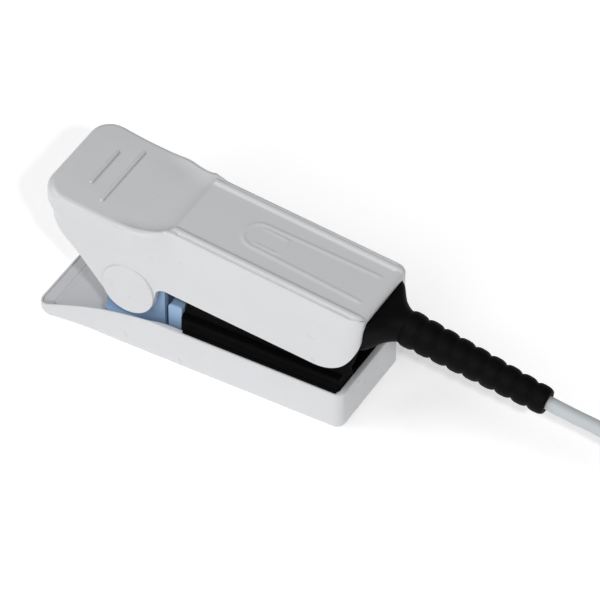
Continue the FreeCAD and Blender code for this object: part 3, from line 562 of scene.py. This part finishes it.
def make_relief(material):
    """A flared base that fills the shell's arch, then a ribbed cone with an open mouth."""
    sides = 64
    rings = []

    def section(x, half, z0, z1, power):
        """An upright section, from an ellipse at power 2 to nearly a rectangle."""
        points = []
        for k in range(sides):
            a = 2 * math.pi * k / sides
            c, n = math.cos(a), math.sin(a)
            points.append((x, math.copysign(abs(c) ** (2 / power), c) * half,
                           (z0 + z1) / 2 + math.copysign(abs(n) ** (2 / power), n) * (z1 - z0) / 2))
        rings.append(points)

    flange, neck = (8.2, 10.0, 16.9), (6.6, 10.6, 16.1)     # half width, bottom, top
    for x, shape in ((47.8, flange), (49.0, flange), (49.1, neck), (50.3, neck)):
        section(x, *shape, 9)
    wide, low, high = 8.55, 9.0, 17.1                       # the flared base where it fills the arch
    near = RELIEF_BASE_R - 0.45
    for x, t in ((50.4, 0.0), (51.3, 0.0), (52.1, 0.02), (52.7, 0.10), (53.4, 0.28), (54.2, 0.50),
                 (55.0, 0.69), (55.9, 0.84), (56.8, 0.95), (57.5, 1.0)):
        half = wide + (near - wide) * t
        z0 = low + (RELIEF_BASE_Z - near - low) * t
        z1 = high + (RELIEF_BASE_Z + near - high) * t
        section(x, half, z0, z1, 5.5 - 3.5 * t ** 0.6)
    droop = math.radians(RELIEF_DROOP)
    long = (RELIEF_END_X - RELIEF_START_X) / math.cos(droop)
    pitch = long / RELIEF_RIBS

    def ring(along, radius):
        """A round section square to the drooping axis."""
        cx, cz = RELIEF_START_X + along * math.cos(droop), RELIEF_BASE_Z - along * math.sin(droop)
        points = []
        for k in range(sides):
            a = 2 * math.pi * k / sides
            up = radius * math.sin(a)
            points.append((cx + up * math.sin(droop), radius * math.cos(a), cz + up * math.cos(droop)))
        rings.append(points)

    for i in range(RELIEF_RIBS):
        for t in (0.03, 0.09, 0.16, 0.26, 0.38, 0.5, 0.62, 0.74, 0.84, 0.91, 0.97):
            along = (i + t) * pitch
            crest = RELIEF_BASE_R + (RELIEF_TIP_R - RELIEF_BASE_R) * along / long
            swell = abs(2 * t - 1)
            ring(along, crest - RIB_DEPTH * swell ** 3.2)
    mouth = CABLE_D / 2
    ring(long - 0.05, RELIEF_TIP_R - 0.62)
    ring(long, RELIEF_TIP_R - 0.8)
    ring(long, mouth + 0.45)
    ring(long - 0.1, mouth + 0.3)
    ring(long - 1.3, mouth - 0.02)
    verts, faces = [], []
    for points in rings:
        verts.extend(points)
    for i in range(len(rings) - 1):
        for k in range(sides):
            n = (k + 1) % sides
            faces.append((i * sides + k, i * sides + n, (i + 1) * sides + n, (i + 1) * sides + k))
    faces.append(tuple(range(sides)))
    faces.append(tuple(range((len(rings) - 1) * sides, len(rings) * sides)))
    relief = new_object("strain_relief_boot", verts, faces, jaw_matrix(), sharp_over=60.0)
    finish_piece(relief, "upper_jaw", "relief_rubber", material, "strain_relief")
    return relief


# ---- camera ----
CAMERA_AZIMUTH, CAMERA_ELEVATION = 29.89, 43.16
CAMERA_TARGET, CAMERA_DISTANCE_M, CAMERA_LENS = (13.85, 6.39, 11.96), 1.15, 336.2


def make_camera():
    """The photograph's view, from the right and above through a long lens."""
    azimuth, elevation = math.radians(CAMERA_AZIMUTH), math.radians(CAMERA_ELEVATION)
    back = Vector((math.sin(azimuth) * math.cos(elevation), -math.cos(azimuth) * math.cos(elevation),
                   math.sin(elevation)))
    target_m = Vector(CAMERA_TARGET) * MM
    data = bpy.data.cameras.new("camera")
    data.sensor_width = 36.0
    data.lens = CAMERA_LENS
    data.clip_start, data.clip_end = 0.05, 20.0
    camera = bpy.data.objects.new("camera", data)
    camera.location = target_m + back * CAMERA_DISTANCE_M
    camera.rotation_mode = "QUATERNION"
    camera.rotation_quaternion = (-back).to_track_quat("-Z", "Y")
    bpy.context.scene.collection.objects.link(camera)
    bpy.context.scene.camera = camera


# ---- cord ----
def hank_points():
    """The folded cable as control points: rounds of an outer and an inner track in three layers."""
    low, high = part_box("cable_hank")
    mid = (low.x + high.x) / 2 / MM
    end = (high.x - low.x) / 2 / MM - HANK_END_R
    waist_r = (end ** 2 + HANK_WAIST ** 2 - HANK_END_R ** 2) / (2 * (HANK_END_R - HANK_WAIST))
    spread = math.degrees(math.atan2(end, HANK_WAIST + waist_r))     # of each waist arc, each side
    sweep = 90.0 + spread                                            # of each end arc, each side
    r = CABLE_D / 2
    tracks = [(0, 0), (1, 0), (1, 1), (0, 1), (0, 2), (1, 2)]        # (inner?, layer) of each round
    steps = 6
    step = 2 * sweep / steps
    points = []
    for i, (inner, layer) in enumerate(tracks):
        after = tracks[min(i + 1, len(tracks) - 1)]
        end_r = HANK_END_R - r - CABLE_D * inner
        z = TIE_THICK + r + CABLE_D * layer
        waist_radius = waist_r + r + CABLE_D * inner
        control = waist_radius / math.cos(math.radians(spread / 2))
        wx = control * math.sin(math.radians(spread / 2))
        wy = HANK_WAIST + waist_r - waist_radius
        points += [(mid - wx, -wy, z), (mid + wx, -wy, z)]
        if i == len(tracks) - 1:
            break
        ring = end_r / math.cos(math.radians(step / 2))
        lift = -0.5 if layer == 0 else 0.15 * (layer - 1)
        for k in range(steps):
            a = math.radians(-sweep + step * (k + 0.5))
            points.append((mid + end + ring * math.cos(a), ring * math.sin(a), z + lift))
        points += [(mid + wx, wy, z), (mid - wx, wy, z)]
        for k in range(steps):
            share = float(smooth((k - 0.5) / (steps - 2)))
            a = math.radians(180 - sweep + step * (k + 0.5))
            radius = (end_r + (inner - after[0]) * CABLE_D * share) / math.cos(math.radians(step / 2))
            up = z + CABLE_D * (after[1] - layer) * share
            points.append((mid - end + radius * math.cos(a), radius * math.sin(a), up + lift))
    return points


def cord_line():
    """The whole cable's places in metres, from one NURBS curve that isn't kept."""
    low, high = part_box("cable_hank")
    mid = (low.x + high.x) / 2 / MM
    into = [(mid - 23.3, -12.3, 1.75)]
    out = [(mid + 12.5, -4.3, 8.5), (mid + 19.0, -4.2, 10.2)]
    route = LEAD_ROUTE + into + hank_points() + out + TAIL_ROUTE
    curve = bpy.data.curves.new("cable_route", "CURVE")
    curve.dimensions = "3D"
    spline = curve.splines.new("NURBS")
    spline.points.add(len(route) - 1)
    for point, place in zip(spline.points, route):
        point.co = (*[c * MM for c in place], 1.0)
    spline.order_u = 3
    spline.use_endpoint_u = True
    spline.resolution_u = 8
    holder = bpy.data.objects.new("cable_route", curve)
    mesh = bpy.data.meshes.new_from_object(holder)
    line = [v.co.copy() for v in mesh.vertices]
    bpy.data.objects.remove(holder)
    bpy.data.curves.remove(curve)
    bpy.data.meshes.remove(mesh)
    return line


def tube_mesh(line, radius, sides=16):
    """Rings round a line, without twist, and flat ends. The line and the radius are in metres."""
    rings, faces = [], []
    across = Vector((0, 1, 0))
    for i, place in enumerate(line):
        ahead = (line[min(i + 1, len(line) - 1)] - line[max(i - 1, 0)]).normalized()
        across = (across - ahead * across.dot(ahead)).normalized()
        up = ahead.cross(across)
        rings += [place + (across * math.cos(2 * math.pi * k / sides)
                           + up * math.sin(2 * math.pi * k / sides)) * radius for k in range(sides)]
    for i in range(len(line) - 1):
        for k in range(sides):
            n = (k + 1) % sides
            faces.append((i * sides + k, i * sides + n, (i + 1) * sides + n, (i + 1) * sides + k))
    faces.append(tuple(range(sides))[::-1])
    faces.append(tuple(range((len(line) - 1) * sides, len(line) * sides)))
    return [v / MM for v in rings], faces


def make_tie(material):
    """The hook-and-loop band round the hank's waist, with its end lapped over on top."""
    low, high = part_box("cable_tie")
    mid, wide = (low.x + high.x) / 2 / MM, (high.x - low.x) / 2 / MM
    half, top, thick = high.y / MM, high.z / MM, TIE_THICK

    def outline(inset, corner):
        """The band's round-cornered section, or its inside at an inset."""
        points = []
        for cx, cy, turn in ((half - inset - corner, top - inset - corner, 0),
                             (-half + inset + corner, top - inset - corner, 90),
                             (-half + inset + corner, inset + corner, 180),
                             (half - inset - corner, inset + corner, 270)):
            for a in np.linspace(0, 90, 7):
                a = math.radians(a + turn)
                points.append((cx + corner * math.cos(a), cy + corner * math.sin(a)))
        return points

    outer, inner = outline(0.0, 2.4), outline(thick, 1.5)
    verts, faces = [], []
    count = len(outer)
    xs = [-wide, -wide + 0.15, -wide + 0.5] + list(np.linspace(-wide + 1.0, wide - 1.0, 9)) \
        + [wide - 0.5, wide - 0.15, wide]
    for x in xs:
        edge = 0.12 * (max(0.0, abs(x) - wide + 0.15) / 0.15)
        for (oy, oz), (iy, iz) in zip(outer, inner):
            verts.append((mid + x, oy + (iy - oy) * edge, oz + (iz - oz) * edge))
    ring_count = len(xs)
    for x in xs:
        verts.extend((mid + x, iy, iz) for iy, iz in inner)
    for layer in (0, ring_count):
        for i in range(ring_count - 1):
            for k in range(count):
                n = (k + 1) % count
                a = (layer + i) * count
                faces.append((a + k, a + n, a + count + n, a + count + k))
    for i in (0, ring_count - 1):
        for k in range(count):
            n = (k + 1) % count
            a, b = i * count, (ring_count + i) * count
            faces.append((a + k, a + n, b + n, b + k))
    lap = [(-5.2, 0.0), (-5.2, 0.62), (-4.9, 0.72), (4.6, 0.72), (5.0, 0.55), (5.1, 0.0)]
    start = len(verts)
    for x in (-wide + 0.1, wide - 0.1):
        verts.extend((mid + x, y, top + z - 0.02) for y, z in lap)
    n = len(lap)
    for k in range(n):
        m = (k + 1) % n
        faces.append((start + k, start + m, start + n + m, start + n + k))
    faces.append(tuple(range(start, start + n)))
    faces.append(tuple(range(start + n, start + 2 * n)))
    band = new_object("cable_tie_band", verts, faces, sharp_over=45.0)
    finish_piece(band, "lower_jaw", "tie_strap", material, "cable_tie")
    return band


def make_cable(material):
    """One tube from the strain relief to the plug."""
    line = cord_line()
    verts, faces = tube_mesh(line, CABLE_D / 2 * MM)
    cable = new_object("cable", verts, faces)
    cable.data.materials.append(material)
    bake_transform(cable)
    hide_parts("cable_lead", "cable_hank", "cable_tail")
    return cable, line


# ---- materials ----
class Shader:
    """A node material with a Principled shader, built step by step."""

    def __init__(self, name, color, rough, metal=0.0, specular=0.5):
        self.material = bpy.data.materials.new(name)
        self.material.use_nodes = True
        self.tree = self.material.node_tree
        self.shader = self.tree.nodes["Principled BSDF"]
        self.shader.inputs["Base Color"].default_value = (*color, 1.0)
        self.shader.inputs["Roughness"].default_value = rough
        self.shader.inputs["Metallic"].default_value = metal
        self.shader.inputs["Specular IOR Level"].default_value = specular
        self.place = self.tree.nodes.new("ShaderNodeTexCoord").outputs["Object"]
        self.normal = None

    def link(self, a, b):
        self.tree.links.new(a, b)

    def noise(self, size, detail=3.0, stretch=None):
        """Noise with features of about size millimetres, and its strength as the output."""
        node = self.tree.nodes.new("ShaderNodeTexNoise")
        node.inputs["Scale"].default_value = 1.0 / (size * MM)
        node.inputs["Detail"].default_value = detail
        place = self.place
        if stretch:
            mapping = self.tree.nodes.new("ShaderNodeMapping")
            mapping.inputs["Scale"].default_value = stretch
            self.link(place, mapping.inputs["Vector"])
            place = mapping.outputs["Vector"]
        self.link(place, node.inputs["Vector"])
        return node.outputs["Fac"]

    def ramp(self, fac, low, high, a, b):
        """Maps fac from low..high onto a..b, as numbers or as colours."""
        if isinstance(a, tuple):
            node = self.tree.nodes.new("ShaderNodeValToRGB")
            first, last = node.color_ramp.elements
            first.position, last.position = low, high
            first.color, last.color = (*a, 1.0), (*b, 1.0)
            self.link(fac, node.inputs["Fac"])
            return node.outputs["Color"]
        node = self.tree.nodes.new("ShaderNodeMapRange")
        for name, value in (("From Min", low), ("From Max", high), ("To Min", a), ("To Max", b)):
            node.inputs[name].default_value = value
        self.link(fac, node.inputs["Value"])
        return node.outputs["Result"]

    def color(self, fac, low, high, a, b):
        self.link(self.ramp(fac, low, high, a, b), self.shader.inputs["Base Color"])
        return self

    def rough(self, fac, a, b, low=0.3, high=0.7):
        self.link(self.ramp(fac, low, high, a, b), self.shader.inputs["Roughness"])
        return self

    def bump(self, fac, strength, depth):
        """Adds relief of depth millimetres on top of what is there already."""
        node = self.tree.nodes.new("ShaderNodeBump")
        node.inputs["Strength"].default_value = strength
        node.inputs["Distance"].default_value = depth * MM
        self.link(fac, node.inputs["Height"])
        if self.normal is not None:
            self.link(self.normal, node.inputs["Normal"])
        self.normal = node.outputs["Normal"]
        self.link(self.normal, self.shader.inputs["Normal"])
        return self

    def set(self, **values):
        """Sets inputs of the shader by name, with _ for a space."""
        for name, value in values.items():
            self.shader.inputs[name.replace("_", " ")].default_value = value
        return self


def shades(color, spread):
    """A darker and a lighter shade of a colour."""
    return (tuple(c * (1 - spread) for c in color), tuple(min(1.0, c * (1 + spread)) for c in color))


def moulded(name, color, rough, grain=0.25, depth=0.01, spread=0.025, specular=0.5):
    """Moulded plastic: a faint cloudiness, an eroded grain, and slightly uneven gloss."""
    s = Shader(name, color, rough, specular=specular)
    dark, light = shades(color, spread)
    s.color(s.noise(9.0, 4.0), 0.3, 0.7, dark, light)
    s.rough(s.noise(6.0, 2.0), rough - 0.03, rough + 0.04)
    s.bump(s.noise(grain, 2.0), 0.5, depth)
    return s


def metal(name, color, rough, stretch=(1.0, 1.0, 1.0)):
    """Drawn or plated metal, with marks that run along where stretch is low."""
    s = Shader(name, color, rough, metal=1.0)
    dark, light = shades(color, 0.08)
    s.color(s.noise(1.2, 3.0, stretch), 0.3, 0.7, dark, light)
    s.rough(s.noise(0.5, 3.0, stretch), rough - 0.06, rough + 0.1)
    s.bump(s.noise(0.12, 2.0, stretch), 0.3, 0.006)
    return s


def make_materials():
    """Every finish by a short key."""
    black_rubber = (0.0015, 0.0015, 0.0018)
    made = {
        "shell": moulded("shell_plastic", (0.555, 0.56, 0.575), 0.3, depth=0.0025, spread=0.012),
        "cap": moulded("cap_plastic", (0.55, 0.555, 0.57), 0.3, depth=0.0025, spread=0.012),
        "frame": moulded("frame_plastic", (0.27, 0.40, 0.58), 0.42),
        "dark": moulded("dark_plastic", (0.02, 0.02, 0.022), 0.5),
        "pad": moulded("pad_rubber", black_rubber, 0.75, grain=0.18, depth=0.02, specular=0.05),
        "relief": moulded("relief_rubber", black_rubber, 0.6, grain=0.2, depth=0.02, specular=0.07),
        "cable": moulded("cable_jacket", (0.43, 0.46, 0.475), 0.5, grain=0.3, depth=0.012),
        "hood": moulded("hood_plastic", (0.50, 0.52, 0.53), 0.5, grain=0.35, depth=0.03),
        "insulator": moulded("insulator_plastic", (0.02, 0.02, 0.02), 0.4),
        "lead": moulded("lead_insulation", (0.22, 0.22, 0.24), 0.4),
        "led": moulded("led_package", (0.78, 0.76, 0.70), 0.35),
        "sensor": moulded("sensor_package", (0.04, 0.04, 0.05), 0.25),
        "steel": metal("steel", (0.56, 0.56, 0.57), 0.28, (1.0, 12.0, 1.0)),
        "spring": metal("spring_steel", (0.50, 0.50, 0.52), 0.3),
        "plated": metal("plated_steel", (0.66, 0.65, 0.63), 0.25, (12.0, 1.0, 1.0)),
        "brass": metal("contact_brass", (0.85, 0.66, 0.28), 0.2, (12.0, 1.0, 1.0)),
        "board": moulded("circuit_board", (0.02, 0.13, 0.06), 0.3),
        "tie": moulded("tie_strap", (0.02, 0.02, 0.021), 0.9, grain=0.4, depth=0.25, spread=0.3,
                       specular=0.2),
    }
    lens = Shader("clear_window", (0.86, 0.88, 0.88), 0.08)
    lens.set(Transmission_Weight=0.85, IOR=1.49)
    lens.rough(lens.noise(2.0), 0.05, 0.12)
    made["window"] = lens
    return {key: shader.material for key, shader in made.items()}


CAD_FINISH = {
    "lower_shell": "shell", "upper_shell": "shell", "hinge_cap_left": "cap", "hinge_cap_right": "cap",
    "lower_frame": "frame", "upper_frame": "dark", "lower_frame_screws": "steel",
    "upper_frame_screws": "steel",
    "lower_pad": "pad", "upper_pad": "pad", "detector_board": "board", "emitter_board": "board",
    "photodiode": "sensor", "emitter_leds": "led", "detector_window": "window", "emitter_window": "window",
    "detector_leads": "lead", "emitter_leads": "lead", "torsion_spring": "spring", "hinge_pin": "steel",
    "strain_relief": "relief", "cable_end": "cable", "cable_lead": "cable", "cable_hank": "cable",
    "cable_tail": "cable", "cable_clamp": "dark", "cable_tie": "tie", "plug_relief": "hood",
    "plug_hood_lower": "hood", "plug_hood_upper": "hood", "plug_shell": "plated",
    "plug_insulator": "insulator", "plug_contacts": "brass",
}


def paint_nodes(materials):
    """Gives every CAD node its own finish."""
    for node, key in CAD_FINISH.items():
        obj = frame["nodes"][node]
        obj.data.materials.clear()
        obj.data.materials.append(materials[key])


# ---- stage ----
def make_stage():
    """A pale floor just below the clip, so that the two never lie in one plane."""
    mesh = bpy.data.meshes.new("floor")
    half_m, level_m = 6.0, -0.00005
    corners = ((-half_m, -half_m), (half_m, -half_m), (half_m, half_m), (-half_m, half_m))
    mesh.from_pydata([(x, y, level_m) for x, y in corners], [], [(0, 1, 2, 3)])
    floor = bpy.data.objects.new("floor", mesh)
    bpy.context.scene.collection.objects.link(floor)
    s = Shader("floor", (0.97, 0.97, 0.97), 0.8, specular=0.0)
    s.rough(s.noise(60.0), 0.75, 0.9)
    s.shader.inputs["Emission Color"].default_value = (1.0, 1.0, 1.0, 1.0)
    s.shader.inputs["Emission Strength"].default_value = 0.25
    floor.data.materials.append(s.material)


LIGHT_TARGET_M = (0.02, 0, 0.015)


def disk_light(name, toward, far_m, size_m, power):
    """A round light that looks at the clip. Power is how bright a white face turned to it becomes."""
    data = bpy.data.lights.new(name, "AREA")
    data.shape = "DISK"
    data.size = size_m
    data.energy = power * math.pi ** 2 * far_m ** 2
    light = bpy.data.objects.new(name, data)
    direction = Vector(toward).normalized()
    light.location = Vector(LIGHT_TARGET_M) + direction * far_m
    light.rotation_mode = "QUATERNION"
    light.rotation_quaternion = direction.to_track_quat("Z", "Y")
    bpy.context.scene.collection.objects.link(light)


def make_lights():
    """An even studio sky, a wide light at the side, a small one in front and a wide one above."""
    world = bpy.data.worlds.new("studio")
    world.use_nodes = True
    sky = world.node_tree.nodes["Background"]
    sky.inputs["Color"].default_value = (1.0, 1.0, 1.0, 1.0)
    sky.inputs["Strength"].default_value = 0.28
    bpy.context.scene.world = world
    bpy.context.scene.view_settings.view_transform = "Standard"
    disk_light("key", (0.0, -0.75, 0.5), 1.2, 0.7, 0.32)
    disk_light("front", (0.52, -0.60, 0.72), 1.5, 0.08, 0.30)
    disk_light("top", (-0.5, -0.3, 0.8), 1.2, 0.8, 0.34)


# ---- the whole ----
make_camera()
materials = make_materials()
paint_nodes(materials)
cable, cable_line = make_cable(materials["cable"])
make_upper_shell(materials["shell"])
make_lower_shell(materials["shell"])
make_pads(materials["pad"])
relief = make_relief(materials["relief"])
make_bending_parts(materials)
tie = make_tie(materials["tie"])
make_stage()
make_lights()
